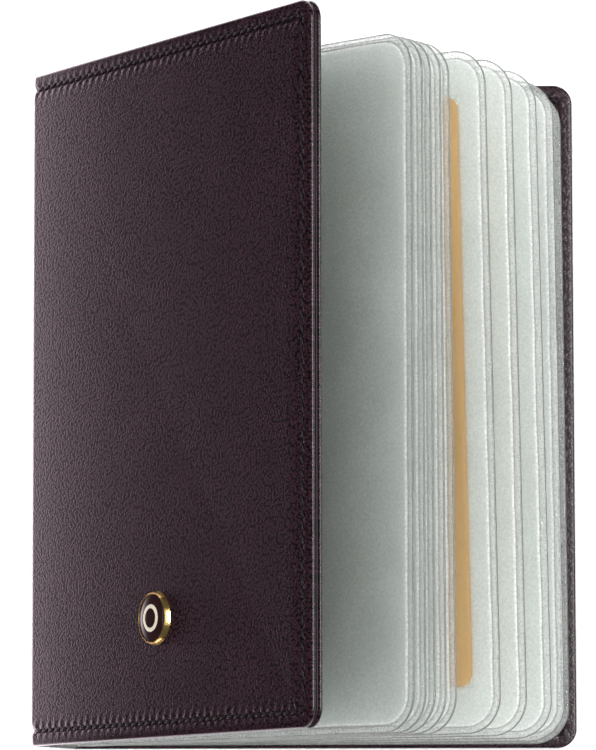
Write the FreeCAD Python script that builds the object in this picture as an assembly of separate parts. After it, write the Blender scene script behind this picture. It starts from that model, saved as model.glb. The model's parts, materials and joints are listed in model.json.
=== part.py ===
import FreeCAD, Part
import math
import os

# A book-style card case. Two board-stiffened leather covers fold about a narrow spine,
# round an insert of clear pocket leaves that fan out of a binding bar on the spine.
#
# Millimetres. +X runs from the spine to the free edges, +Y from tail to head, +Z up.
# The case lies on its back cover, partly open. The origin is the middle of its footprint,
# on the surface that it lies on.

# ---- Driving dimensions: the cover ----
case_height = 105.0            # head to tail
cover_width = 78.3             # fold axis to free edge
cover_corner = 3.0             # radius of a cover's free corners
opening_angle = 56.9           # between the covers, as modelled
outer_leather = 0.60
board = 0.50
lining = 0.20
sleeve_skin = 0.40
flap_slot = 0.30               # height of the slot that takes the insert's end flap
turned_edge = 1.2              # leather rim round a board's edge
lining_inset = 0.3
sleeve_width = 52.0            # free edge to the sleeve's mouth
sleeve_rim = 3.6               # sewn margin of a sleeve
seam_inset = 2.3               # edge to the middle of the seam
seam_corner = 1.6
thread_width = 0.45
thread_depth = 0.20
thread_clearance = 0.03

# ---- Driving dimensions: the spine ----
spine_outer = 0.60
spine_stiffener = 0.50
spine_lining = 0.30
fold_clearance = 0.10          # spine strip to a fold's roll of leather

# ---- Driving dimensions: the insert ----
leaf_angles = [44.3, 42.9, 41.9, 40.5, 39.3, 31.6, 25.5, 17.7, 9.9, 3.1]
leaf_inset = 0.55              # closed: a leaf's free edge to the covers' free edges
leaf_margin = 1.1              # leaf to cover at head and tail, before the leaf's drop
leaf_drops = [1.1] * 5 + [0.7] * 5     # how much nearer the tail each leaf hangs
leaf_corner = 5.6
leaf_gap = 0.24                # between closed leaves
stack_clearance = 0.62         # closed covers to the outermost leaves
film = 0.15
weld = 1.2                     # width of the welded rim of a pocket
root_web = 1.5                 # bead to the start of the pocket
root_land = 1.0                # welded strip at the pocket's inner end
mouth = 5.0                    # bead to the pocket's mouth
web_thickness = 0.20
bead_radius = 0.20
bead_clearance = 0.05
binding_thickness = 1.0
binding_end_gap = 0.60
binding_drop = 0.55            # the bar sits this much nearer the tail
flap_thickness = 0.20
flap_start = 3.0               # fold axis to the flap's inner edge
flap_clearance = 1.4           # flap to the sides of its slot

# ---- Driving dimensions: the card ----
card_width = 51.0
card_height = 89.0
card_thickness = 0.26
card_corner = 2.6
card_clearance = 0.02
card_leaf = 6                  # counted from the front cover
card_to_edge = 4.6             # card to the leaf's free edge
card_drop = 0.75               # the card's middle sits this much nearer the tail
card_tilt = 1.3                # degrees; the card lies askew, its head nearer the spine

# ---- Driving dimensions: the badge ----
badge_from_fold = 36.5
badge_from_tail = 17.8
badge_radius = 4.0
badge_height = 0.90
bezel_wall = 0.85
bezel_floor = 0.20
dome_rise = 0.35
dome_clearance = 0.03
inlay_radius = 1.50
inlay_width = 0.40
inlay_depth = 0.12
post_radius = 0.80
post_clearance = 0.05
washer_radius = 2.5
washer_thickness = 0.20
washer_clearance = 0.10

# ---- Dependent sizes ----
half_height = case_height / 2
half_opening = opening_angle / 2
cover_thickness = outer_leather + board + lining + flap_slot + sleeve_skin
outer_face = -cover_thickness / 2
board_start = outer_face + outer_leather
lining_start = board_start + board
sleeve_start = lining_start + lining
inner_face = cover_thickness / 2
fold_radius = cover_thickness / 2
panel_start = fold_radius + fold_clearance
spine_thickness = spine_outer + spine_stiffener + spine_lining
spine_face = spine_thickness / 2
pocket_gap = card_thickness + 2 * card_clearance
leaf_thickness = 2 * film + pocket_gap
leaf_pitch = leaf_thickness + leaf_gap
leaf_count = len(leaf_angles)
stack = (leaf_count - 1) * leaf_pitch + leaf_thickness
spine_length = cover_thickness + stack + 2 * stack_clearance
binding_face = spine_face + binding_thickness
pivot_offset = binding_face + bead_clearance + bead_radius
leaf_width = cover_width - pivot_offset - leaf_inset
leaf_height = case_height - 2 * leaf_margin

ORIGIN = FreeCAD.Vector(0, 0, 0)
OPENING_AXIS = FreeCAD.Vector(0, -1, 0)
LENGTHWAYS = FreeCAD.Vector(0, 1, 0)
UP = FreeCAD.Vector(0, 0, 1)


def turned(x, z, degrees):
    """The point (x, z) turned in the opening direction, from +X towards +Z."""
    angle = math.radians(degrees)
    return (x * math.cos(angle) - z * math.sin(angle), x * math.sin(angle) + z * math.cos(angle))


front_fold_turned = turned(0, spine_length, half_opening)
leftmost = front_fold_turned[0] - fold_radius
back_fold = (-(leftmost + cover_width) / 2, cover_thickness / 2)
front_fold = (back_fold[0] + front_fold_turned[0], back_fold[1] + front_fold_turned[1])


def leaf_pivot(number):
    """Where leaf `number`, counted from the front cover, leaves the binding bar."""
    along = cover_thickness / 2 + stack_clearance + leaf_thickness / 2
    along += (leaf_count - number) * leaf_pitch
    x, z = turned(pivot_offset, along, half_opening)
    return (back_fold[0] + x, back_fold[1] + z)


# ---- Placing: each piece is drawn flat in its own frame, then turned and moved ----
# A cover's frame: fold axis at the origin, +X to the free edge, +Z to the inside.
# The spine's frame: back fold at the origin, +Z to the front fold, +X to the inside.
# A leaf's frame: bead at the origin, +X to the free edge, +Z to the front cover.

def place(shape, degrees, point):
    shape.rotate(ORIGIN, OPENING_AXIS, degrees)
    shape.translate(FreeCAD.Vector(point[0], 0, point[1]))
    return shape


def place_back(shape):
    return place(shape, 0, back_fold)


def place_front(shape):
    shape.rotate(ORIGIN, FreeCAD.Vector(1, 0, 0), 180)
    return place(shape, opening_angle, front_fold)


def place_spine(shape):
    return place(shape, half_opening, back_fold)


def place_leaf(shape, number, drop):
    shape.translate(FreeCAD.Vector(0, -drop, 0))
    return place(shape, leaf_angles[number - 1], leaf_pivot(number))


# ---- Simple shapes ----

def block(x0, x1, y0, y1, z0, z1):
    return Part.makeBox(x1 - x0, y1 - y0, z1 - z0, FreeCAD.Vector(x0, y0, z0))


def drum(radius, x, y, z0, z1):
    return Part.makeCylinder(radius, z1 - z0, FreeCAD.Vector(x, y, z0), UP)


def roll(radius, length):
    """A cylinder along Y, centred on the origin."""
    return Part.makeCylinder(radius, length, FreeCAD.Vector(0, -length / 2, 0), LENGTHWAYS)


def page(x0, x1, half, radius, z0, z1):
    """A flat slab with square corners at x0 and two rounded corners at x1."""
    bend = radius * (1 - math.sqrt(0.5))
    at = FreeCAD.Vector
    a = at(x0, -half, z0)
    b = at(x1 - radius, -half, z0)
    c = at(x1 - bend, -half + bend, z0)
    d = at(x1, -half + radius, z0)
    e = at(x1, half - radius, z0)
    f = at(x1 - bend, half - bend, z0)
    g = at(x1 - radius, half, z0)
    h = at(x0, half, z0)
    edges = [
        Part.makeLine(a, b),
        Part.Arc(b, c, d).toShape(),
        Part.makeLine(d, e),
        Part.Arc(e, f, g).toShape(),
        Part.makeLine(g, h),
        Part.makeLine(h, a),
    ]
    return Part.Face(Part.Wire(edges)).extrude(FreeCAD.Vector(0, 0, z1 - z0))


def three_sided(x0, x1, half, radius, width, z0, z1):
    """A band of the given width round the head, free and tail edges of a page."""
    outer = page(x0, x1, half, radius, z0, z1)
    inner_radius = max(radius - width, 0.2)
    return outer.cut(page(x0 - 1, x1 - width, half - width, inner_radius, z0 - 1, z1 + 1))


def write(name, shape):
    shape.exportStep("parts/" + name + ".step")


# ---- The covers ----

def seam(grown, z0, z1):
    """The run of a seam round a cover, `grown` wider on each side than the thread."""
    half_thread = thread_width / 2 + grown
    return three_sided(
        panel_start - grown,
        cover_width - seam_inset + half_thread,
        half_height - seam_inset + half_thread,
        seam_corner + half_thread,
        2 * half_thread,
        z0,
        z1,
    )


def cover_leather():
    """Outer leather: a skin, its edge turned up round the board, and the fold's roll."""
    skin = page(0, cover_width, half_height, cover_corner, outer_face, lining_start)
    tray = page(
        panel_start,
        cover_width - turned_edge,
        half_height - turned_edge,
        cover_corner - turned_edge,
        board_start,
        lining_start + 1,
    )
    step = block(-1, panel_start, -half_height, half_height, board_start, lining_start + 1)
    leather = skin.cut(tray).cut(step).fuse(roll(fold_radius, case_height))
    groove = seam(thread_clearance, outer_face - 1, outer_face + thread_depth)
    return leather.cut(groove)


def cover_board():
    return page(
        panel_start,
        cover_width - turned_edge,
        half_height - turned_edge,
        cover_corner - turned_edge,
        board_start,
        lining_start,
    )


def cover_lining():
    return page(
        panel_start,
        cover_width - lining_inset,
        half_height - lining_inset,
        cover_corner - lining_inset,
        lining_start,
        sleeve_start,
    )


def cover_sleeve():
    """Inner leather sleeve, sewn on three sides, with a slot open towards the spine."""
    start = cover_width - sleeve_width
    skin = page(start, cover_width, half_height, cover_corner, sleeve_start, inner_face)
    slot = block(
        start - 1,
        cover_width - sleeve_rim,
        -half_height + sleeve_rim,
        half_height - sleeve_rim,
        sleeve_start - 1,
        sleeve_start + flap_slot,
    )
    groove = seam(thread_clearance, inner_face - thread_depth, inner_face + 1)
    return skin.cut(slot).cut(groove)


def outer_thread():
    return seam(0, outer_face, outer_face + thread_depth)


def inner_thread():
    """The seam's second thread, which shows on the sleeve only."""
    run = seam(0, inner_face - thread_depth, inner_face)
    start = cover_width - sleeve_width
    return run.common(block(start, cover_width, -half_height, half_height, -fold_radius, fold_radius))


def end_flap():
    """The insert's end flap, which slips into a sleeve."""
    lift = (flap_slot - flap_thickness) / 2
    half = half_height - sleeve_rim - flap_clearance
    end = cover_width - sleeve_rim - flap_clearance
    low = sleeve_start + lift
    return page(flap_start, end, half, cover_corner, low, low + flap_thickness)


# ---- The badge on the front cover, in that cover's frame ----
badge_y = half_height - badge_from_tail


def badge_solid(profile):
    """A solid of revolution about the badge's axis. `profile` lists (radius, height) points."""
    points = [FreeCAD.Vector(badge_from_fold + r, badge_y, outer_face - h) for r, h in profile]
    face = Part.Face(Part.makePolygon(points + [points[0]]))
    return face.revolve(FreeCAD.Vector(badge_from_fold, badge_y, 0), UP, 360)


def dome_height(radius):
    """Height of the dome's surface above the leather, at a radius from its middle."""
    rim = badge_radius - bezel_wall - dome_clearance
    return badge_height - 0.1 + dome_rise * (1 - (radius / rim) ** 2)


def badge_bezel():
    wall_foot = badge_radius - bezel_wall
    return badge_solid([
        (0, 0),
        (badge_radius, 0),
        (badge_radius, badge_height * 0.45),
        (badge_radius - bezel_wall * 0.3, badge_height * 0.9),
        (badge_radius - bezel_wall * 0.55, badge_height),
        (wall_foot, badge_height * 0.8),
        (wall_foot, bezel_floor),
        (0, bezel_floor),
    ])


def dome_profile():
    rim = badge_radius - bezel_wall - dome_clearance
    steps = 12
    radii = [rim * (1 - i / steps) for i in range(steps + 1)]
    return [(0, bezel_floor), (rim, bezel_floor)] + [(r, dome_height(r)) for r in radii]


def badge_inlay():
    """A plain pale ring let into the dome."""
    low = inlay_radius - inlay_width / 2
    high = inlay_radius + inlay_width / 2
    return badge_solid([
        (low, dome_height(low) - inlay_depth),
        (high, dome_height(high) - inlay_depth),
        (high, dome_height(high)),
        (low, dome_height(low)),
    ])


def badge_dome():
    low = inlay_radius - inlay_width / 2
    high = inlay_radius + inlay_width / 2
    groove = badge_solid([
        (low, dome_height(low) - inlay_depth),
        (high, dome_height(high) - inlay_depth),
        (high, dome_height(0) + 1),
        (low, dome_height(0) + 1),
    ])
    return badge_solid(dome_profile()).cut(groove)


def badge_hole():
    """The way for the badge's post through leather and board."""
    return drum(post_radius + post_clearance, badge_from_fold, badge_y, outer_face - 1, lining_start + 1)


def washer_seat():
    low = lining_start - washer_thickness
    return drum(washer_radius + washer_clearance, badge_from_fold, badge_y, low, lining_start + 1)


def badge_washer():
    low = lining_start - washer_thickness
    disc = drum(washer_radius, badge_from_fold, badge_y, low, lining_start)
    return disc.cut(badge_hole())


def badge_post():
    return drum(post_radius, badge_from_fold, badge_y, outer_face, lining_start)


# ---- The spine ----

def spine_strip(x0, x1, inset):
    """One layer of the spine, `inset` from head and tail."""
    half = half_height - inset
    return block(x0, x1, -half, half, panel_start, spine_length - panel_start)


def spine_seam(grown):
    """The two runs of seam across the spine, at head and tail."""
    middle = half_height - seam_inset
    half_thread = thread_width / 2 + grown
    runs = []
    for y in (-middle, middle):
        runs.append(block(
            -spine_face - grown,
            -spine_face + thread_depth,
            y - half_thread,
            y + half_thread,
            panel_start - grown,
            spine_length - panel_start + grown,
        ))
    return Part.makeCompound(runs)


def spine_leather():
    leather = spine_strip(-spine_face, -spine_face + spine_outer, 0)
    return leather.cut(spine_seam(thread_clearance))


def spine_board():
    start = -spine_face + spine_outer
    return spine_strip(start, start + spine_stiffener, turned_edge)


def spine_inner():
    return spine_strip(spine_face - spine_lining, spine_face, lining_inset)


def insert_binding():
    """The bar that the leaves grow out of."""
    half = leaf_height / 2
    end = cover_thickness / 2 + binding_end_gap
    bar = block(spine_face, binding_face, -half, half, end, spine_length - end)
    bar.translate(FreeCAD.Vector(0, -binding_drop, 0))
    return bar


# ---- The leaves ----
leaf_face = leaf_thickness / 2
pocket_face = pocket_gap / 2


def leaf_rear_film():
    """Rear film with its welded rim, its root and the bead that it turns on."""
    half = leaf_height / 2
    sheet = page(root_web, leaf_width, half, leaf_corner, -leaf_face, -pocket_face)
    rim = three_sided(mouth, leaf_width, half, leaf_corner, weld, -pocket_face, pocket_face)
    land = block(root_web, root_web + root_land, -half, half, -pocket_face, web_thickness / 2)
    web = block(0, root_web, -half, half, -web_thickness / 2, web_thickness / 2)
    return sheet.fuse([rim, land, web, roll(bead_radius, leaf_height)])


def leaf_front_film():
    return page(mouth, leaf_width, leaf_height / 2, leaf_corner, pocket_face, leaf_face)


def business_card():
    """A card with four rounded corners, lying in its pocket."""
    end = leaf_width - card_to_edge
    half = card_height / 2
    middle = end - card_width / 2
    right = page(middle, end, half, card_corner, -card_thickness / 2, card_thickness / 2)
    left = right.copy()
    left.rotate(FreeCAD.Vector(middle, 0, 0), UP, 180)
    card = right.fuse(left).removeSplitter()
    card.rotate(FreeCAD.Vector(middle, 0, 0), UP, card_tilt)
    return card


# ---- Write every piece ----
os.makedirs("parts", exist_ok=True)

for side, put in (("back", place_back), ("front", place_front)):
    leather = cover_leather()
    stiffener = cover_board()
    if side == "front":
        leather = leather.cut(badge_hole())
        stiffener = stiffener.cut(badge_hole()).cut(washer_seat())
    write(side + "_leather", put(leather))
    write(side + "_board", put(stiffener))
    write(side + "_lining", put(cover_lining()))
    write(side + "_sleeve", put(cover_sleeve()))
    write(side + "_seam_thread", put(outer_thread()))
    write(side + "_sleeve_thread", put(inner_thread()))
    write("insert_" + side + "_flap", put(end_flap()))

write("badge_bezel", place_front(badge_bezel()))
write("badge_dome", place_front(badge_dome()))
write("badge_inlay", place_front(badge_inlay()))
write("badge_post", place_front(badge_post()))
write("badge_washer", place_front(badge_washer()))

write("spine_leather", place_spine(spine_leather()))
write("spine_stiffener", place_spine(spine_board()))
write("spine_lining", place_spine(spine_inner()))
write("spine_seam_thread", place_spine(spine_seam(0)))
write("insert_binding", place_spine(insert_binding()))

for number in range(1, leaf_count + 1):
    name = "leaf_%02d" % number
    drop = leaf_drops[number - 1]
    write(name + "_rear_film", place_leaf(leaf_rear_film(), number, drop))
    write(name + "_front_film", place_leaf(leaf_front_film(), number, drop))

write("business_card", place_leaf(business_card(), card_leaf, card_drop))
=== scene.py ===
import json
import math

import bmesh
import bpy
import numpy as np
from mathutils import Matrix, Vector

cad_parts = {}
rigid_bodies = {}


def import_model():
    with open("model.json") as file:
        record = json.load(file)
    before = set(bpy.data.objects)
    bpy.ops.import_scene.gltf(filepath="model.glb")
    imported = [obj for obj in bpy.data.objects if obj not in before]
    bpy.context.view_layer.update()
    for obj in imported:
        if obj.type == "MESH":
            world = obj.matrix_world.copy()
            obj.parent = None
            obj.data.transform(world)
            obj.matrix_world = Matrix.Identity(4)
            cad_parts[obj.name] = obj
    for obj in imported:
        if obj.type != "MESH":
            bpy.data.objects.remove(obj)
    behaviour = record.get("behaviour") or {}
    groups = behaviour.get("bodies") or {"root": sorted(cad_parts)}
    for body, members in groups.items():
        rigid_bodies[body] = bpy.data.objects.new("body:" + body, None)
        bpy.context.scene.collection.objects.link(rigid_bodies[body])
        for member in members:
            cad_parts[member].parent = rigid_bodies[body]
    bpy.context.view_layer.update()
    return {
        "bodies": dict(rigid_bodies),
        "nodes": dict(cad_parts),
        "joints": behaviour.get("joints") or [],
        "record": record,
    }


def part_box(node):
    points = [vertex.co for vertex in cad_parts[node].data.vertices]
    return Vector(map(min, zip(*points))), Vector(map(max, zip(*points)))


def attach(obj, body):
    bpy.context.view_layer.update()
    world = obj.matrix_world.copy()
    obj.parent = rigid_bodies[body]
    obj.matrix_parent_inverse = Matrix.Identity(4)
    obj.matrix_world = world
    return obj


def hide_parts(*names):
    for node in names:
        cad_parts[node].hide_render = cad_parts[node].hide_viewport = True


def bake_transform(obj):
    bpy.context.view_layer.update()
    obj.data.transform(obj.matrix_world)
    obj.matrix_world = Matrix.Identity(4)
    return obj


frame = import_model()

MM = 0.001

# ---- Where the frame says things are (millimetres, section in X and Z) ----
joints = {joint["name"]: joint for joint in frame["joints"]}
ratios = {c["joint"]: c["ratio"] for c in frame["record"]["behaviour"]["couplings"]}


def section_point(joint):
    """A hinge's place in the section across the case, (x, z) in millimetres."""
    x, _, z = joints[joint]["pos_m"]
    return np.array([x / MM, z / MM])


def extent(node, axis):
    """Lowest and highest coordinate of a node along an axis, in millimetres."""
    low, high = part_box(node)
    return low[axis] / MM, high[axis] / MM


half_opening = -math.radians(joints["spine_fold"]["range_deg"][0])
back_fold = section_point("spine_fold")
front_fold = section_point("cover_fold")
leaf_names = sorted(b for b in frame["bodies"] if b.startswith("leaf_"))

case_height = extent("back_leather", 1)[1] * 2
cover_width = extent("back_leather", 0)[1] - back_fold[0]
spine_length = float(np.linalg.norm(front_fold - back_fold))
face = back_fold[1]                       # fold axis to a cover's faces
lining_face = extent("back_lining", 2)[1] - face
mouth_at = extent("back_sleeve", 0)[0] - back_fold[0]

# ---- Sizes of what is made here (millimetres) ----
CORNER = 3.0                              # radius of a cover's free corners
CORNER_ZONE = 5.5                         # length of each edge that a corner's points take up
SEAM_INSET = 2.3                          # edge to the middle of the seam
STITCH_PITCH = 1.9
STITCH_WIDTH = 0.42
STITCH_SLANT = 0.16                       # each end of a stitch to the seam's middle
STITCH_SINK = 0.20                        # how far a stitch's ends go into the leather
STITCH_RISE = 0.22                        # a stitch's ends to its middle
HOLE_DEPTH = 0.26
HOLE_RADIUS = 0.27
PUCKER_INSIDE = 0.115                     # height of the puckers on each side of the seam
PUCKER_OUTSIDE = 0.075
SAMPLE = STITCH_PITCH / 8                 # point spacing along a seam
BEND = 0.55                               # half the developed length of a fold's bend
PLATEAU = face + 0.12                     # the padded middle of a cover
FOLD_ZONE = 4.0                           # fold to where a cover's flat middle starts
ACROSS = 24                               # points across a panel at the fold
OUTER_BEAD = 0.5                          # radius of the outer leather's turned edge
SLEEVE_BEAD = 0.38
HINGE_THICKNESS = 0.12                    # the lining across a fold, inside
HINGE_ON_SPINE = 2.2                      # end of the bend to the hinge lining's end
HINGE_ON_COVER = 3.0
LEAF_CORNER = 5.6
LEAF_ROOT = 0.2                           # bead to the rear film
LEAF_MOUTH = 5.0                          # bead to the front film
WELD_WAVER = 0.07                         # how far a weld line strays
WEB_ZONE = 3.0                            # bead to where a leaf reaches its full thickness
LEAF_BOW = 0.1                            # how far a leaf bows out of its plane
CARD_LEAF_BOW = 0.02                      # the card keeps its leaf nearly flat
LEAF_INSET = 0.55                         # closed: leaf to cover at the free edge
FOLD_TO_BEAD = 1.95                       # closed: covers' folds to the leaves' beads
LEAF_LEAN = [0.0, 0.1, 0.2, 0.3, 0.5, 1.2, 1.1, 1.1, 0.7, 0.4]      # degrees, tail outwards
CARD_LEAF = 6                             # counted from the front cover
CARD_SIZE = np.array([51.0, 89.0])
CARD_THICKNESS = 0.26
CARD_CORNER = 2.6
CARD_TO_EDGE = 4.6                        # card to its leaf's free edge
CARD_TILT = math.radians(0.2)             # within its leaning leaf
CARD_LIFT = 0.10                          # how far the card pushes its films out
DOME_RADIUS = 3.60
INLAY_RADIUS = 1.75                       # to the middle of the ring
INLAY_HALF_WIDTH = 0.30


# ---- Meshes from arrays ----

def solid_from(name, grids, polygons=(), close=True, inset=None, surface=None):
    """One mesh from point grids (rows x columns x 3) and flat polygons, all in millimetres.

    Shared borders are welded, open ends are capped when `close` is set, and the faces are
    turned outwards. `inset` gives each grid's distance from the outline and `surface` its place
    on the flat piece, both kept on the points.
    """
    points, faces, base = [], [], 0
    for grid in grids:
        rows, columns = grid.shape[:2]
        index = base + np.arange(rows * columns).reshape(rows, columns)
        quads = np.stack([index[:-1, :-1], index[1:, :-1], index[1:, 1:], index[:-1, 1:]], -1)
        faces += quads.reshape(-1, 4).tolist()
        points.append(grid.reshape(-1, 3))
        base += rows * columns
    for polygon in polygons:
        faces.append(list(range(base, base + len(polygon))))
        points.append(polygon)
        base += len(polygon)
    mesh = bpy.data.meshes.new(name)
    mesh.from_pydata((np.concatenate(points) * MM).tolist(), [], faces)
    if inset is not None:
        values = np.concatenate([part.ravel() for part in inset]).astype(np.float32)
        mesh.attributes.new("inset", "FLOAT", "POINT").data.foreach_set("value", values)
    if surface is not None:
        values = np.concatenate([part.reshape(-1, 3) for part in surface]).astype(np.float32)
        mesh.attributes.new("surface", "FLOAT_VECTOR", "POINT").data.foreach_set("vector", values.ravel())
    shell = bmesh.new()
    shell.from_mesh(mesh)
    bmesh.ops.remove_doubles(shell, verts=shell.verts, dist=2e-6)
    if close:
        rim = [edge for edge in shell.edges if edge.is_boundary]
        bmesh.ops.holes_fill(shell, edges=rim, sides=0)
    bmesh.ops.recalc_face_normals(shell, faces=shell.faces)
    shell.to_mesh(mesh)
    shell.free()
    mesh.shade_smooth()
    piece = bpy.data.objects.new(name, mesh)
    bpy.context.scene.collection.objects.link(piece)
    return piece


def finish_piece(piece, material, body, replaced=()):
    """Gives a piece its material, its body when one is given, and what it stands for."""
    piece.data.materials.clear()
    piece.data.materials.append(material)
    if body is not None:
        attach(piece, body)
    if replaced:
        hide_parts(*replaced)
    return piece


# ---- Outlines ----

def rounded_side(inset, run, edge, width, half, radius, zone, corner_count):
    """Points along tail, free and head edge of a page, `inset` from its outline.

    The tail run and the head run keep the given distances `run` from the fold, the free edge
    keeps the given places `edge`, and each corner is two straights and a quarter circle of the
    outline's radius less the inset, spaced evenly by length.
    """
    turn = max(radius - inset, 0.25 * (zone - inset))
    straight = zone - inset - turn
    length = 2 * straight + turn * math.pi / 2
    step = np.arange(1, corner_count) / corner_count * length
    angle = np.clip((step - straight) / turn, 0, math.pi / 2)
    first = np.minimum(step, straight)
    last = np.maximum(step - straight - turn * math.pi / 2, 0)
    x = width - zone + first + turn * np.sin(angle)
    y = half - inset - turn * (1 - np.cos(angle)) - last
    corner = np.stack([x, y], 1)
    tail = np.stack([run, np.full(len(run), inset - half)], 1)
    side = np.stack([np.full(len(edge), width - inset), edge], 1)
    mirror = np.array([1, -1])
    return np.concatenate([tail, corner * mirror, side, corner[::-1], tail[::-1] * mirror])


def travelled(line):
    """Distance along a line of points, from its first."""
    steps = np.linalg.norm(np.diff(line, axis=0), axis=1)
    return np.concatenate([[0], np.cumsum(steps)])


# ---- A cover's own frame, bent round its fold ----

class Cover:
    """Places points (a, y, w): a runs from the spine across the fold to the free edge, and w
    is the distance outwards from the middle of the cover's thickness."""

    def __init__(self, fold, opening, spine_turn, outward):
        self.fold = fold
        self.along = np.array([math.cos(opening), math.sin(opening)])
        self.to_spine = spine_turn * np.array([-math.sin(half_opening), math.cos(half_opening)])
        self.cover_angle = opening + outward * math.pi / 2
        self.spine_angle = math.pi + half_opening
        if outward < 0:
            self.cover_angle += 2 * math.pi

    def section(self, a, w):
        """Straight on the spine, an arc about the fold's axis, then straight on the cover."""
        share = (np.clip(a / BEND, -1, 1) + 1) / 2
        angle = self.spine_angle + share * (self.cover_angle - self.spine_angle)
        out = np.stack([np.cos(angle), np.sin(angle)], -1)
        on_cover = np.maximum(a - BEND, 0)[..., None] * self.along
        on_spine = np.maximum(-a - BEND, 0)[..., None] * self.to_spine
        return self.fold + on_cover + on_spine + w[..., None] * out

    def place(self, points):
        """Points of the flat cover, carried round its fold into the case's own axes."""
        flat = self.section(points[..., 0], points[..., 2])
        return np.stack([flat[..., 0], points[..., 1], flat[..., 1]], -1)

    def at(self, a, w):
        """One point of the section, as an (x, z) pair."""
        return self.section(np.array([float(a)]), np.array([float(w)]))[0]

    def blend_ends(self):
        """The two ends of the fold's bend, for a piece that follows spine and cover."""
        start, end = self.at(-BEND, face), self.at(BEND, face)
        return (start[0] * MM, 0, start[1] * MM), (end[0] * MM, 0, end[1] * MM)


covers = {
    "back_cover": Cover(back_fold, 0.0, 1, -1),
    "front_cover": Cover(front_fold, 2 * half_opening, -1, 1),
}


# ---- Sewn leather ----

def seam_relief(inset, distance, side):
    """Height added to leather near its seam.

    A round dip at every stitch hole, and small slanted puckers that fade out over two
    millimetres on the inner side of the seam and faster towards the edge.
    """
    from_seam = inset - SEAM_INSET
    phase = distance / STITCH_PITCH
    nearest = (phase - np.round(phase)) * STITCH_PITCH
    hole = -HOLE_DEPTH * np.exp(-(from_seam ** 2 + nearest ** 2) / HOLE_RADIUS ** 2)
    slant = 2 * math.pi * (phase - 0.26 * from_seam)
    inner = PUCKER_INSIDE * np.exp(-np.maximum(from_seam - 0.3, 0) / 0.70)
    outer = PUCKER_OUTSIDE * np.exp(-np.maximum(-from_seam - 0.3, 0) / 0.45)
    pucker = np.where(from_seam > 0, inner, outer) * np.cos(slant)
    pucker = pucker * np.clip(abs(from_seam) / 0.3, 0, 1)
    return side * (hole + pucker)


def edge_profile(side, low, bead, plateau):
    """(inset, height) points from under the turned edge, round its bead, over the sewn dip
    and up to the padded middle. Heights are outwards for side 1 and inwards for side -1."""
    angle = np.radians(np.arange(-70, 91, 20))
    round_edge = np.stack([bead * (1 - np.cos(angle)), low + bead * (1 + np.sin(angle))], 1)
    top = low + 2 * bead
    inset = np.array([
        0.8, 1.1, 1.4, 1.65, 1.85, 2.0, 2.15, 2.3, 2.45, 2.6, 2.8, 3.05, 3.35, 3.7, 4.1, 4.5, 5.0,
    ])
    rib = top + 0.03 - 0.05 * ((inset - 1.3) / 1.0) ** 2
    swell = plateau - (plateau - top + 0.10) * np.exp(-np.maximum(inset - 2.6, 0) / 0.55)
    height = np.where(inset < 2.3, rib, swell)
    height = height - 0.17 * np.exp(-((inset - SEAM_INSET) / 0.24) ** 2)
    outline = np.concatenate([[[1.0, low]], round_edge, np.stack([inset, height], 1)])
    outline[:, 1] *= side
    return outline


def sewn_panel(name, cover, start, side, profile):
    """A sewn leather panel: the edge profile carried round the tail, free and head edges, a
    dense grid where the panel crosses the fold, and one flat face over the middle."""
    width = cover_width + BEND
    half = case_height / 2
    run = np.arange(start, width - CORNER_ZONE, SAMPLE)
    run[-1] = width - CORNER_ZONE
    edge_count = int((case_height - 2 * CORNER_ZONE) / SAMPLE)
    edge = np.linspace(-half + CORNER_ZONE, half - CORNER_ZONE, edge_count)

    def ring(inset):
        return rounded_side(inset, run, edge, width, half, CORNER, CORNER_ZONE, 40)

    distance = travelled(ring(SEAM_INSET))
    distance = distance - distance[-1] / 2
    band = np.zeros((len(distance), len(profile), 3))
    for column, (inset, height) in enumerate(profile):
        band[:, column, :2] = ring(inset)
        band[:, column, 2] = height + seam_relief(inset, distance, side)
    band[:, :2, 2] = profile[:2, 1]
    band[:, -1, 2] = profile[-1, 1]

    grids, polygons = [band], []
    depth = [np.tile(profile[:, 0], (len(distance), 1))]
    crossing = int(np.searchsorted(run, FOLD_ZONE))
    for inset, height in (profile[0], profile[-1]):
        inner = ring(inset)
        across = np.linspace(-half + inset, half - inset, ACROSS)
        if crossing:
            a, y = np.meshgrid(run[:crossing + 1], across, indexing="ij")
            grids.append(np.stack([a, y, np.full(a.shape, height)], -1))
            depth.append(np.full(a.shape, profile[-1, 0]))
        keep = inner[crossing:len(inner) - crossing]
        closing = np.stack([np.full(ACROSS - 2, run[crossing]), across[-2:0:-1]], 1)
        loop = np.concatenate([keep, closing])
        polygons.append(np.column_stack([loop, np.full(len(loop), height)]))
    depth += [np.full(len(polygon), profile[-1, 0]) for polygon in polygons]
    placed = [cover.place(grid) for grid in grids]
    outlines = [cover.place(polygon) for polygon in polygons]
    return solid_from(name, placed, outlines, inset=depth, surface=grids + polygons)


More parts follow.
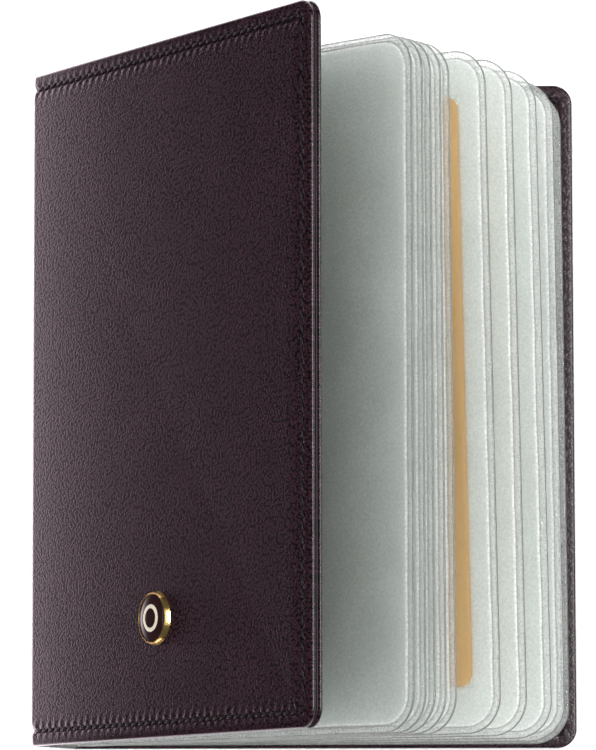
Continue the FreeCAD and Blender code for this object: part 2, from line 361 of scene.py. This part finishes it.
def stitches(name, cover, start, end, side):
    """A row of slanted stitches along the seam, each a short tube whose ends dip into the
    leather, thickest in the middle. Only those between `start` and `end` from the fold."""
    width = cover_width + BEND
    half = case_height / 2
    run = np.linspace(min(start, -spine_length / 2 - BEND), width - CORNER_ZONE, 400)
    edge = np.linspace(-half + CORNER_ZONE, half - CORNER_ZONE, 400)
    line = rounded_side(SEAM_INSET, run, edge, width, half, CORNER, CORNER_ZONE, 60)
    distance = travelled(line)
    distance = distance - distance[-1] / 2
    count = int(distance[-1] / STITCH_PITCH)
    middle = (np.arange(-count, count) + 0.5) * STITCH_PITCH
    along = np.linspace(-0.5, 0.5, 9) * STITCH_PITCH * 0.96
    angle = np.arange(8) / 8 * 2 * math.pi
    grids = []
    for place in middle:
        at = place + along
        a = np.interp(at, distance, line[:, 0])
        y = np.interp(at, distance, line[:, 1])
        if a.min() < start or a.max() > end:
            continue
        forward = np.array([a[-1] - a[0], y[-1] - y[0]])
        forward /= np.linalg.norm(forward)
        across = np.array([-forward[1], forward[0]])
        slant = STITCH_SLANT * (along / along[-1])
        arch = 1 - (along / along[-1]) ** 2
        radius = STITCH_WIDTH / 2 * (0.45 + 0.55 * np.sqrt(np.maximum(arch, 0)))
        centre = np.stack([a, y], 1) + slant[:, None] * across
        height = face - STITCH_SINK + STITCH_RISE * arch
        ring_side = radius[:, None] * np.cos(angle)
        ring_up = radius[:, None] * np.sin(angle) * 0.8
        tube = np.zeros((len(along), len(angle) + 1, 3))
        tube[:, :-1, :2] = centre[:, None] + ring_side[..., None] * across
        tube[:, :-1, 2] = side * (height[:, None] + ring_up)
        tube[:, -1] = tube[:, 0]
        grids.append(cover.place(tube))
    return solid_from(name, grids)


# ---- Strips across a fold ----

def strip(name, line, thickness, half):
    """A flat strip along Y that follows a line of (x, z) points, with an even thickness."""
    ahead = np.gradient(line, axis=0)
    ahead /= np.linalg.norm(ahead, axis=1)[:, None]
    normal = np.stack([-ahead[:, 1], ahead[:, 0]], 1) * thickness / 2
    loop = np.concatenate([line + normal, (line - normal)[::-1], (line + normal)[:1]])
    across = np.linspace(-half, half, 12)
    grid = np.zeros((len(loop), len(across), 3))
    grid[..., 0] = loop[:, None, 0]
    grid[..., 1] = across
    grid[..., 2] = loop[:, None, 1]
    return solid_from(name, [grid])


def curve_through(first, bend, last):
    """A quadratic curve from `first` to `last` that heads for `bend` from both."""
    t = np.linspace(0, 1, 14)[:, None]
    return (1 - t) ** 2 * first + 2 * t * (1 - t) * bend + t ** 2 * last


# ---- Pocket leaves ----

# (inset, height) of a film from the leaf's outline inwards: a rounded cut edge, a swollen
# rim, the pressed weld line, and the pocket's puffed face
FILM_PROFILE = np.array([
    (0.00, 0.00), (0.03, 0.11), (0.12, 0.20), (0.30, 0.25), (0.55, 0.26), (0.78, 0.22),
    (0.93, 0.14), (1.05, 0.07), (1.18, 0.07), (1.30, 0.14), (1.45, 0.23), (1.70, 0.29),
    (2.10, 0.30), (2.60, 0.28),
])


class Leaf:
    """Places points (a, y, w) on a leaf that bows evenly along a circular arc and leans a
    little in its plane, a *= 1 - lean y. a runs from the bead to the free edge, y from the
    leaf's middle, and w is towards the front cover."""

    def __init__(self, name, width, bow):
        turn = joints[name + "_turn"]
        self.pivot = section_point(name + "_turn")
        self.angle = half_opening * (1 + ratios[turn["name"]])
        self.half_turn = 4 * bow / width
        self.curvature = 2 * self.half_turn / width
        self.lean = math.tan(math.radians(LEAF_LEAN[leaf_names.index(name)])) / width
        tail, head = extent(name + "_rear_film", 1)
        self.half = (head - tail) / 2
        self.middle = (head + tail) / 2

    def place(self, points):
        """Points of the flat leaf, carried along its arc into the case's own axes."""
        first = self.angle + self.half_turn
        out = points[..., 0] * (1 - self.lean * points[..., 1])
        angle = first - self.curvature * out
        x = (math.sin(first) - np.sin(angle)) / self.curvature
        z = (np.cos(angle) - math.cos(first)) / self.curvature
        x = self.pivot[0] + x - points[..., 2] * np.sin(angle)
        z = self.pivot[1] + z + points[..., 2] * np.cos(angle)
        return np.stack([x, points[..., 1] + self.middle, z], -1)


def wobble(distance, seed):
    """A slow uneven wave along a weld, the sum of three sines, between about -1 and 1."""
    phase = seed * 2.4
    waves = np.sin(distance / 3.1 + phase) + 0.7 * np.sin(distance / 1.7 + 2 * phase)
    return (waves + 0.5 * np.sin(distance / 7.3 + 3 * phase)) / 2.2


def film_shape(leaf, number, side, width, start, card):
    """One film of a leaf: its profile carried round tail, free and head edges, and a grid
    over the pocket whose rows end on the profile's inner line."""
    zone = LEAF_CORNER + 0.4
    step = 0.5 if card else 1.6
    run = np.linspace(start, width - zone, int((width - zone - start) / step))
    edge_span = leaf.half - zone
    edge = np.linspace(-edge_span, edge_span, int(2 * edge_span / step))

    def ring(inset):
        return rounded_side(inset, run, edge, width, leaf.half, LEAF_CORNER, zone, 14)

    outline = ring(0.0)
    wave = wobble(travelled(outline), number + 0.35 * side)
    band = np.zeros((len(outline), len(FILM_PROFILE), 3))
    for column, (inset, height) in enumerate(FILM_PROFILE):
        shift = WELD_WAVER * np.exp(-((inset - 1.15) / 0.5) ** 2) * wave
        inward = ring(inset + 0.01) - ring(inset)
        inward /= np.linalg.norm(inward, axis=1)[:, None]
        band[:, column, :2] = ring(inset) + shift[:, None] * inward
        band[:, column, 2] = height
    inner = ring(FILM_PROFILE[-1, 0])
    rows = inner[len(run) - 1:len(inner) - len(run) + 1]
    level = FILM_PROFILE[-1, 1]
    share = np.linspace(0, 1, 14 if card else 3)
    a_end = width - zone + (rows[:, 0] - (width - zone))[:, None] * share
    y_end = np.repeat(rows[:, 1][:, None], len(share), 1)
    a_run, y_run = np.meshgrid(run, rows[:, 1], indexing="ij")
    grids = [band]
    inset = [np.tile(FILM_PROFILE[:, 0], (len(outline), 1))]
    for a, y in ((a_end, y_end), (a_run, y_run)):
        grids.append(np.stack([a, y, np.full(a.shape, level)], -1))
        inset.append(np.full(a.shape, FILM_PROFILE[-1, 0]))
    for grid, depth in zip(grids, inset):
        if card:
            contact = card_contact(grid[..., 0], grid[..., 1], card)
            grid[..., 2] += CARD_LIFT * contact
            depth += contact
        grid[..., 2] *= side * np.clip(grid[..., 0] / WEB_ZONE, 0.3, 1)
    return [leaf.place(grid) for grid in grids], inset


def card_contact(a, y, card):
    """1 where the film lies on the card, falling to 0 across the card's outline."""
    centre, size = card
    x, y = card_frame(a, y, centre)
    outside = np.maximum(np.abs(x) - size[0] / 2, np.abs(y) - size[1] / 2)
    return 1 / (1 + np.exp(outside / 0.12))


def build_film(name, leaf, number, side, width, start, card):
    """A film as an open shell, with the distance from its outline kept on its points."""
    grids, inset = film_shape(leaf, number, side, width, start, card)
    return solid_from(name, grids, close=False, inset=inset)


def card_frame(a, y, centre):
    """Coordinates from the card's middle, along its sides, which lie CARD_TILT askew."""
    cos, sin = math.cos(CARD_TILT), math.sin(CARD_TILT)
    return (a - centre[0]) * cos + (y - centre[1]) * sin, (y - centre[1]) * cos - (a - centre[0]) * sin


def card_shape(name, leaf, centre, size, thickness, radius):
    """A stiff card with rounded corners and softly rounded edges, lying in the leaf's plane."""
    quarter = np.linspace(0, math.pi / 2, 9)
    corners = []
    for turn, (sx, sy) in enumerate(((1, 1), (-1, 1), (-1, -1), (1, -1))):
        angle = quarter + turn * math.pi / 2
        corner = np.stack([np.cos(angle), np.sin(angle)], 1)
        middle = np.array([sx * (size[0] / 2 - radius), sy * (size[1] / 2 - radius)])
        corners.append((middle, corner))
    grid = []
    for inset, height in ((0.06, -0.5), (0, -0.3), (0, 0.3), (0.06, 0.5)):
        loop = np.concatenate([m + c * (radius - inset) for m, c in corners])
        loop = np.concatenate([loop, loop[:1]])
        cos, sin = math.cos(CARD_TILT), math.sin(CARD_TILT)
        loop = loop @ np.array([[cos, sin], [-sin, cos]]) + centre
        grid.append(np.column_stack([loop, np.full(len(loop), height * thickness)]))
    return solid_from(name, [leaf.place(np.stack(grid, 1))])


# ---- The badge ----

def turned_piece(name, profile, centre, cover):
    """A solid of revolution: (radius, height) points turned about the badge's axis, which
    stands square to the cover's outer face."""
    angle = np.linspace(0, 2 * math.pi, 97)
    radius, height = profile[:, 0], profile[:, 1]
    grid = np.zeros((len(angle), len(profile), 3))
    grid[..., 0] = centre[0] + BEND + np.outer(np.cos(angle), radius)
    grid[..., 1] = centre[1] + np.outer(np.sin(angle), radius)
    grid[..., 2] = height
    return solid_from(name, [cover.place(grid)])


def dome_height(radius):
    """Height of the enamel's dome, which falls with the square of the radius."""
    return face + 0.82 + 0.42 * (1 - (radius / DOME_RADIUS) ** 2)


# ---- Shaders ----

class Wire:
    """A shader socket that takes part in arithmetic: each operator adds one Math node."""

    def __init__(self, shader, socket):
        self.shader = shader
        self.socket = socket

    def __add__(self, other):
        return self.shader.maths("ADD", self, other)

    def __sub__(self, other):
        return self.shader.maths("SUBTRACT", self, other)

    def __rsub__(self, other):
        return self.shader.maths("SUBTRACT", other, self)

    def __mul__(self, other):
        return self.shader.maths("MULTIPLY", self, other)

    def __pow__(self, other):
        return self.shader.maths("POWER", self, other)

    __radd__ = __add__
    __rmul__ = __mul__


class Shader:
    """One material, built by node() and by arithmetic on the wires that node() returns."""

    def __init__(self, name):
        self.material = bpy.data.materials.new(name)
        self.material.use_nodes = True
        self.tree = self.material.node_tree
        self.tree.nodes.clear()
        self.place = self.node("ShaderNodeTexCoord", output="Object")

    def node(self, kind, settings=None, values=None, output=0):
        """Adds a node: its settings, a colour ramp's stops among them, then its sockets."""
        made = self.tree.nodes.new(kind)
        for key, value in (settings or {}).items():
            if key == "stops":
                ramp = made.color_ramp
                for position, colour in value[1:-1]:
                    ramp.elements.new(position)
                for element, (position, colour) in zip(ramp.elements, value):
                    element.position = position
                    element.color = colour
            else:
                setattr(made, key, value)
        for key, value in (values or {}).items():
            if isinstance(value, Wire):
                self.tree.links.new(value.socket, made.inputs[key])
            else:
                made.inputs[key].default_value = value
        return Wire(self, made.outputs[output])

    def maths(self, operation, first, second):
        """One Math node on two wires or numbers."""
        return self.node("ShaderNodeMath", {"operation": operation}, {0: first, 1: second})

    def noise(self, scale, detail=2.0, place=None, stretch=None):
        """Smooth noise on the object's own coordinates unless `place` gives others."""
        place = place or self.place
        if stretch:
            place = self.node("ShaderNodeMapping", {}, {"Vector": place, "Scale": stretch})
        return self.node("ShaderNodeTexNoise", {}, {"Vector": place, "Scale": scale, "Detail": detail})

    def warped(self, scale, amount, place=None):
        """Coordinates, the object's own unless given, pushed about by noise of a given scale."""
        place = place or self.place
        push = self.node("ShaderNodeTexNoise", {}, {"Vector": place, "Scale": scale}, "Color")
        push = self.node("ShaderNodeVectorMath", {"operation": "SUBTRACT"}, {0: push, 1: (0.5,) * 3})
        values = {0: push, 1: (amount,) * 3, 2: place}
        return self.node("ShaderNodeVectorMath", {"operation": "MULTIPLY_ADD"}, values)

    def cells(self, scale, place):
        """Distance to the nearest of points scattered over a plane."""
        settings = {"voronoi_dimensions": "2D"}
        return self.node("ShaderNodeTexVoronoi", settings, {"Vector": place, "Scale": scale}, "Distance")

    def spread(self, wire, low, high, to_low, to_high):
        """A value between `low` and `high`, stretched to run between two others."""
        values = {"Value": wire, "From Min": low, "From Max": high, "To Min": to_low, "To Max": to_high}
        return self.node("ShaderNodeMapRange", {}, values)

    def blend_colour(self, share, first, second):
        """The first colour where `share` is 0, the second where it is 1."""
        settings = {"data_type": "RGBA"}
        values = {0: share, 6: (*first, 1), 7: (*second, 1)}
        return self.node("ShaderNodeMix", settings, values, 2)

    def bump(self, height, strength, depth, under=None):
        values = {"Height": height, "Strength": strength, "Distance": depth}
        if under:
            values["Normal"] = under
        return self.node("ShaderNodeBump", {}, values)

    def surface(self, **values):
        named = {key.replace("_", " "): value for key, value in values.items()}
        return self.node("ShaderNodeBsdfPrincipled", {}, named)

    def done(self, surface):
        output = self.tree.nodes.new("ShaderNodeOutputMaterial")
        self.tree.links.new(surface.socket, output.inputs["Surface"])
        return self.material


def leather(name, dark, light, roughness, grain):
    """Smooth calf: fine domed pebbles with creases between them, laid out on the flat piece in
    millimetres, with faint cloudiness. Pebble tops are coloured lighter and creases darker, partly
    the grain's own colour and partly painted glints and painted shade. The turned edge is
    burnished: smoother and shinier."""
    s = Shader(name)
    inset = s.node("ShaderNodeAttribute", {"attribute_name": "inset"}, {}, "Fac")
    flat = s.node("ShaderNodeAttribute", {"attribute_name": "surface"}, {}, "Vector")
    inside = s.spread(inset, 0.5, 1.5, 0.0, 1.0)
    place = s.warped(0.9, 0.16, flat)
    place = s.node("ShaderNodeMapping", {}, {"Vector": place, "Scale": (1.0, 1.25, 1.0)})
    pebbles = s.cells(1.85, place)
    fine = s.noise(6.0, 2.0, flat)
    cloud = s.noise(0.09, 3.0, flat)
    dome = s.spread(pebbles ** 2.0, 0.02, 0.34, 1.0, 0.0)
    height = (dome + fine * 0.12) * s.spread(inside, 0.0, 1.0, 0.35, 1.0)
    # colour lighter on the pebbles' tops and darker in the creases: partly the grain's own colour, partly
    # a painted glint on the tops and painted shade in the creases; the cloud adds faint random tone
    tone = s.spread(0.5 * cloud + dome, 0.30, 1.30, 0.0, 1.0)
    rough = s.spread(dome + fine, 0.3, 1.5, roughness + 0.14, roughness - 0.04)
    return s.done(s.surface(
        Base_Color=s.blend_colour(tone, dark, light),
        Roughness=rough * s.spread(inside, 0.0, 1.0, 0.6, 1.0),
        Specular_IOR_Level=0.36,
        Normal=s.bump(height, 1.0, grain),
    ))


def woven_lining(name):
    """Dark lining cloth: two crossed rows of threads."""
    s = Shader(name)
    place = s.warped(300, 0.0002)
    rows = []
    for direction in ("X", "Y"):
        values = {"Vector": place, "Scale": 700.0}
        rows.append(s.node("ShaderNodeTexWave", {"bands_direction": direction}, values))
    weave = rows[0] * rows[1]
    tone = weave + 0.5 * s.noise(60, 3.0)
    colour = s.blend_colour(tone, (0.008, 0.004, 0.005), (0.026, 0.015, 0.018))
    return s.done(s.surface(Base_Color=colour, Roughness=0.62, Normal=s.bump(weave, 0.5, 0.00008)))


def clear_vinyl(name):
    """Clear vinyl without a frosted face, slightly milky, with a soft ripple."""
    s = Shader(name)
    ripple = s.noise(220, 2.0)
    cloud = s.noise(900, 3.0)
    film = s.surface(
        Base_Color=s.blend_colour(cloud, (0.62, 0.65, 0.63), (0.86, 0.89, 0.87)),
        Roughness=s.spread(cloud, 0.3, 0.7, 0.14, 0.24),
        IOR=1.53,
        Alpha=s.spread(cloud, 0.3, 0.7, 0.42, 0.56),
        Normal=s.bump(ripple, 0.4, 0.0004),
    )
    glow = s.node("ShaderNodeBsdfTranslucent", {}, {"Color": (0.87, 0.90, 0.88, 1)})
    return s.done(s.node("ShaderNodeMixShader", {}, {0: 0.2, 1: film, 2: glow}))


def frosted_vinyl(name):
    """Clear vinyl with a frosted face, milky and finely speckled. Towards the outline come
    a white glint painted into the colour as a highlight, the grey weld line, a clear glassy rim
    and the dark cut edge; weld line and cut edge are darkened as painted shade where light
    refracts in the film. Where it lies on the card it is clearer."""
    s = Shader(name)
    inset = s.node("ShaderNodeAttribute", {"attribute_name": "inset"}, {}, "Fac")
    inside = s.spread(inset, 1.15, 1.55, 0.0, 1.0)
    contact = s.spread(inset, 2.75, 3.45, 0.0, 1.0)
    speckle = s.noise(2700, 2.0)
    cloud = s.noise(120, 2.0)
    uneven = s.noise(240, 3.0, stretch=(1.0, 0.6, 1.0))
    ripple = s.noise(260, 2.0, stretch=(1.0, 0.35, 1.0))
    tone = s.spread(speckle + 0.4 * cloud, 0.48, 0.92, 0.0, 1.0)
    # rim colour bands from the outline inwards: the dark cut edge and the grey weld line are painted
    # shade, the white band inside the weld is a painted glint
    bands = {"stops": [
        (0.00, (0.16, 0.17, 0.16, 0.85)),
        (0.05, (0.22, 0.23, 0.22, 0.75)),
        (0.10, (0.80, 0.82, 0.80, 0.27)),
        (0.42, (0.82, 0.84, 0.82, 0.27)),
        (0.50, (0.40, 0.42, 0.41, 0.50)),
        (0.56, (0.46, 0.48, 0.47, 0.50)),
        (0.63, (0.97, 0.98, 0.97, 0.70)),
        (0.70, (0.95, 0.97, 0.95, 0.55)),
        (0.80, (0.74, 0.78, 0.75, 0.46)),
    ]}
    along = s.spread(inset + 0.14 * uneven, 0.12, 2.12, 0.0, 1.0)
    rim_painted_light_colour = s.node("ShaderNodeValToRGB", bands, {"Fac": along}, "Color")
    rim_painted_light_alpha = s.node("ShaderNodeValToRGB", bands, {"Fac": along}, "Alpha")
    speckled = s.blend_colour(tone, (0.69, 0.70, 0.695), (1.0, 1.0, 1.0))
    colour = s.node("ShaderNodeMix", {"data_type": "RGBA", "blend_type": "MULTIPLY"}, {
        0: 1.0, 6: rim_painted_light_colour, 7: speckled,
    }, 2)
    frost = s.bump(speckle * inside, 0.8, 0.00014)
    film = s.surface(
        Base_Color=colour,
        Roughness=s.spread(inside, 0.0, 1.0, 0.12, 0.38),
        IOR=1.53,
        Alpha=rim_painted_light_alpha * s.spread(tone, 0.0, 1.0, 0.85, 1.15) * (1 - 0.62 * contact),
        Normal=s.bump(ripple + 0.12 * speckle, 0.35, 0.0004, frost),
    )
    glow = s.node("ShaderNodeBsdfTranslucent", {}, {"Color": (0.87, 0.90, 0.88, 1)})
    share = s.spread(inside, 0.0, 1.0, 0.08, 0.34) * (1 - 0.7 * contact)
    return s.done(s.node("ShaderNodeMixShader", {}, {0: share, 1: film, 2: glow}))


def card_stock(name):
    """Ochre card with short fibres."""
    s = Shader(name)
    fibre = s.noise(2600, 3.0, stretch=(1.0, 0.4, 1.0))
    colour = s.blend_colour(fibre, (0.60, 0.33, 0.085), (0.76, 0.46, 0.15))
    return s.done(s.surface(Base_Color=colour, Roughness=0.6, Normal=s.bump(fibre, 0.2, 0.00006)))


def waxed_thread(name):
    """Twisted dark thread: fine slanted bands."""
    s = Shader(name)
    twist = s.node("ShaderNodeTexWave", {"bands_direction": "DIAGONAL"}, {
        "Vector": s.place, "Scale": 900.0, "Distortion": 1.0,
    })
    colour = s.blend_colour(twist, (0.004, 0.002, 0.003), (0.020, 0.012, 0.016))
    return s.done(s.surface(Base_Color=colour, Roughness=0.48, Normal=s.bump(twist, 0.6, 0.00008)))


def metal(name, colour, deep, roughness):
    """Polished plate with hairline wear."""
    s = Shader(name)
    wear = s.noise(1500, 3.0)
    tint = s.blend_colour(wear, deep, colour)
    rough = s.spread(wear, 0.3, 0.7, roughness, roughness + 0.08)
    return s.done(s.surface(Base_Color=tint, Metallic=1.0, Roughness=rough))


def enamel(name, deep, light, roughness):
    """Glossy enamel with faint depth."""
    s = Shader(name)
    cloud = s.noise(700, 2.0)
    colour = s.blend_colour(cloud, deep, light)
    return s.done(s.surface(Base_Color=colour, Roughness=roughness, Coat_Weight=1.0, Coat_Roughness=0.03))


def board_stock(name):
    """Grey-brown pulp board."""
    s = Shader(name)
    pulp = s.noise(1800, 4.0)
    colour = s.blend_colour(pulp, (0.16, 0.13, 0.10), (0.32, 0.27, 0.21))
    return s.done(s.surface(Base_Color=colour, Roughness=0.85, Normal=s.bump(pulp, 0.3, 0.0001)))


def studio_floor(name):
    """Pale paper."""
    s = Shader(name)
    tone = s.noise(14, 2.0)
    colour = s.blend_colour(tone, (0.86, 0.86, 0.86), (0.90, 0.90, 0.90))
    return s.done(s.surface(
        Base_Color=colour, Roughness=0.9, Emission_Color=(1, 1, 1, 1), Emission_Strength=0.25
    ))


def gloss_card(name, reach, strength):
    """A card that glows at its right edge and fades to black over `reach` metres; its glow is a painted
    reflection that puts a sheen on the leather near it, and its black part darkens the reflections
    further out.
    """
    s = Shader(name)
    across = s.node("ShaderNodeSeparateXYZ", {}, {"Vector": s.place})
    share = s.spread(across, 0.5 - reach, 0.5, 0.0, 1.0)
    colour = s.blend_colour(share ** 6.0, (0.0, 0.0, 0.0), (1.0, 0.86, 0.94))
    black = (0.01, 0.01, 0.01, 1)
    return s.done(s.surface(
        Base_Color=black, Roughness=1.0, Emission_Color=colour, Emission_Strength=strength
    ))


GRAIN = 0.000024                          # height of the leather's pebbles, in metres
cover_leather = leather(
    "cover_leather", (0.0040, 0.0015, 0.0026), (0.0430, 0.0160, 0.0272), 0.26, GRAIN
)
sleeve_leather = leather(
    "sleeve_leather", (0.0045, 0.0018, 0.0030), (0.0360, 0.0136, 0.0220), 0.28, GRAIN
)
lining = woven_lining("woven_lining")
vinyl = frosted_vinyl("frosted_vinyl")
binding_vinyl = clear_vinyl("clear_vinyl")
ochre_card = card_stock("ochre_card")
thread = waxed_thread("waxed_thread")
gilt = metal("gilt_metal", (0.98, 0.72, 0.28), (0.86, 0.55, 0.16), 0.16)
steel = metal("plated_steel", (0.66, 0.65, 0.63), (0.5, 0.49, 0.48), 0.3)
dark_enamel = enamel("dark_enamel", (0.012, 0.004, 0.005), (0.035, 0.010, 0.012), 0.12)
pale_enamel = enamel("pale_enamel", (0.72, 0.66, 0.50), (0.86, 0.80, 0.64), 0.15)
pulp_board = board_stock("pulp_board")

# ---- CAD nodes that stay as they are, with their finishes ----
node_finish = {
    "back_board": pulp_board,
    "front_board": pulp_board,
    "spine_stiffener": pulp_board,
    "back_lining": lining,
    "front_lining": lining,
    "spine_lining": lining,
    "insert_binding": binding_vinyl,
    "insert_front_flap": binding_vinyl,
    "insert_back_flap": binding_vinyl,
    "badge_post": gilt,
    "badge_washer": steel,
}
for node, material in node_finish.items():
    kept = frame["nodes"][node]
    kept.data.materials.clear()
    kept.data.materials.append(material)

# ---- Covers ----
outer_profile = edge_profile(1, 0.0, OUTER_BEAD, PLATEAU)
inner_profile = edge_profile(-1, -lining_face + 0.62, SLEEVE_BEAD, face + 0.05)
spine_middle = -(spine_length / 2 + BEND)

for side, cover_name in (("back", "back_cover"), ("front", "front_cover")):
    cover = covers[cover_name]
    skin = sewn_panel(side + "_cover_skin", cover, spine_middle, 1, outer_profile)
    finish_piece(skin, cover_leather, None, [side + "_leather", "spine_leather"])
    cover.blend_ends()
    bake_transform(skin)

    start = mouth_at + BEND
    sleeve = sewn_panel(side + "_sleeve_skin", cover, start, -1, inner_profile)
    finish_piece(sleeve, sleeve_leather, cover_name, [side + "_sleeve"])

    row = stitches(side + "_cover_stitches", cover, 0.9, cover_width + 1, 1)
    finish_piece(row, thread, cover_name, [side + "_seam_thread"])
    row = stitches(side + "_sleeve_stitches", cover, start + 0.3, cover_width + 1, -1)
    finish_piece(row, thread, cover_name, [side + "_sleeve_thread"])
    row = stitches(side + "_spine_stitches", cover, spine_middle, -0.7, 1)
    finish_piece(row, thread, "spine", ["spine_seam_thread"])

    # a thin lining bridges the fold inside the case
    on_spine = cover.at(-HINGE_ON_SPINE - BEND, -0.74)
    on_cover = cover.at(HINGE_ON_COVER + BEND, lining_face - 0.05)
    line = curve_through(on_spine, cover.at(0, -0.75), on_cover)
    hinge = strip(side + "_hinge_lining", line, HINGE_THICKNESS, case_height / 2 - 1.0)
    finish_piece(hinge, lining, None)
    cover.blend_ends()
    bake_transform(hinge)

# ---- Leaves ----
leaf_width = cover_width - LEAF_INSET - FOLD_TO_BEAD
card_tail, card_head = extent("business_card", 1)
for number, leaf_name in enumerate(leaf_names, 1):
    leaf = Leaf(leaf_name, leaf_width, CARD_LEAF_BOW if number == CARD_LEAF else LEAF_BOW)
    card = None
    if number == CARD_LEAF:
        card_middle = (card_tail + card_head) / 2 - leaf.middle
        card = (np.array([leaf_width - CARD_TO_EDGE - CARD_SIZE[0] / 2, card_middle]), CARD_SIZE)
    rear = build_film(leaf_name + "_rear", leaf, number, -1, leaf_width, LEAF_ROOT, card)
    finish_piece(rear, vinyl, leaf_name, [leaf_name + "_rear_film"])
    front = build_film(leaf_name + "_front", leaf, number, 1, leaf_width, LEAF_MOUTH, card)
    finish_piece(front, vinyl, leaf_name, [leaf_name + "_front_film"])
    if card:
        shape = card_shape("ochre_card", leaf, *card, CARD_THICKNESS, CARD_CORNER)
        finish_piece(shape, ochre_card, "business_card", ["business_card"])

# ---- Badge ----
bezel_low, bezel_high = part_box("badge_bezel")
badge_cover = covers["front_cover"]
badge_middle = (bezel_low + bezel_high) / 2 / MM
from_fold = np.array([badge_middle.x, badge_middle.z]) - front_fold
badge_centre = (float(from_fold @ badge_cover.along), badge_middle.y)
bezel_profile = np.array([
    (0.0, face - 0.05), (4.06, face - 0.05), (4.10, face + 0.04), (4.07, face + 0.14),
    (3.92, face + 0.55), (3.78, face + 0.93), (3.74, face + 0.99), (3.69, face + 1.01),
    (3.64, face + 0.98), (3.62, face + 0.92), (3.62, face + 0.2), (0.0, face + 0.2),
])
bezel = turned_piece("badge_bezel_ring", bezel_profile, badge_centre, badge_cover)
finish_piece(bezel, gilt, "front_cover", ["badge_bezel"])

radii = np.linspace(DOME_RADIUS, 0, 26)
dome_underside = [(0, face + 0.21), (DOME_RADIUS, face + 0.21)]
dome_profile = np.concatenate([dome_underside, np.stack([radii, dome_height(radii)], 1)])
dome = turned_piece("badge_dome_lens", dome_profile, badge_centre, badge_cover)
finish_piece(dome, dark_enamel, "front_cover", ["badge_dome"])

ring_angle = np.linspace(0, 2 * math.pi, 13)
ring_radius = INLAY_RADIUS + INLAY_HALF_WIDTH * np.cos(ring_angle)
ring_height = dome_height(ring_radius) + 0.05 * np.sin(ring_angle)
ring_profile = np.stack([ring_radius, ring_height], 1)
inlay = turned_piece("badge_inlay_ring", ring_profile, badge_centre, badge_cover)
finish_piece(inlay, pale_enamel, "front_cover", ["badge_inlay"])

# ---- Floor, light and camera ----
bpy.ops.mesh.primitive_plane_add(size=3.0)
floor = bpy.context.object
floor.name = "studio_floor"
floor.data.materials.append(studio_floor("studio_paper"))


def softbox(name, place, aim, size, power, glossy=True, diffuse=True):
    """A rectangular area light at `place` that faces `aim`, in metres; `size` is along Y, then
    across it."""
    lamp = bpy.data.lights.new(name, "AREA")
    lamp.shape = "RECTANGLE"
    lamp.size_y, lamp.size = size
    lamp.energy = power
    lamp_object = bpy.data.objects.new(name, lamp)
    towards = Vector(aim) - Vector(place)
    across = Vector((0, 1, 0)).cross(towards).normalized()
    along = towards.cross(across).normalized()
    turn = Matrix((across, along, -towards.normalized())).transposed()
    lamp_object.matrix_world = Matrix.Translation(place) @ turn.to_4x4()
    lamp_object.visible_camera = False
    lamp_object.visible_glossy = glossy
    lamp_object.visible_diffuse = diffuse
    bpy.context.scene.collection.objects.link(lamp_object)


softbox("key", (0.35, 0.05, 0.50), (0.0, 0, 0.02), (0.40, 0.40), 1.5)
softbox("right_low", (0.32, -0.06, 0.17), (0.0, 0, 0.04), (0.40, 0.22), 0.28)
softbox("left_fill", (-0.072, 0.0, 0.008), (-0.03, 0, 0.035), (0.26, 0.012), 0.036, glossy=False)
softbox("head_low", (0.03, 0.22, 0.05), (0.02, 0, 0.03), (0.03, 0.16), 0.34, glossy=False)
softbox("tail_low", (0.03, -0.22, 0.05), (0.02, 0, 0.03), (0.03, 0.16), 0.16, glossy=False)
softbox("top_wall", (0.25, 0.0, 0.66), (0.0, 0, 0.04), (0.80, 0.50), 0.70, diffuse=False)
softbox("top_strip", (0.30, 0.0, 0.62), (0.0, 0, 0.04), (0.50, 0.035), 2.0, diffuse=False)

daylight = bpy.data.lights.new("daylight", "SUN")
daylight.energy = 2.45
daylight.angle = math.radians(60)
daylight_object = bpy.data.objects.new("daylight", daylight)
daylight_object.rotation_euler = (0, math.radians(-12), 0)
daylight_object.visible_glossy = False
bpy.context.scene.collection.objects.link(daylight_object)

# a glowing card beside the case, bright near it and black further out, seen only in its gloss: it paints
# a reflected sheen on the leather near the spine
bpy.ops.mesh.primitive_plane_add(size=1.0, location=(-0.5435, 0, 0.0003))
painted_sheen_card = bpy.context.object
painted_sheen_card.name = "painted_sheen_card"
painted_sheen_card.visible_camera = False
painted_sheen_card.visible_diffuse = False
painted_sheen_card.visible_shadow = False
painted_sheen_card.visible_transmission = False
painted_sheen_card.data.materials.append(gloss_card("painted_sheen_card", 0.080, 8.0))

world = bpy.data.worlds.new("studio")
world.use_nodes = True
world.node_tree.nodes["Background"].inputs["Color"].default_value = (1, 1, 1, 1)
world.node_tree.nodes["Background"].inputs["Strength"].default_value = 0.10
bpy.context.scene.world = world
bpy.context.scene.view_settings.view_transform = "Standard"
bpy.context.scene.cycles.transparent_max_bounces = 40

camera_data = bpy.data.cameras.new("camera")
camera_data.lens = 239.9
camera = bpy.data.objects.new("camera", camera_data)
camera.location = (33.79 * MM + back_fold[0] * MM, -0.0830, 0.7854)
camera.rotation_euler = (math.radians(6.502), math.radians(-0.06), math.radians(-0.10))
bpy.context.scene.collection.objects.link(camera)
bpy.context.scene.camera = camera
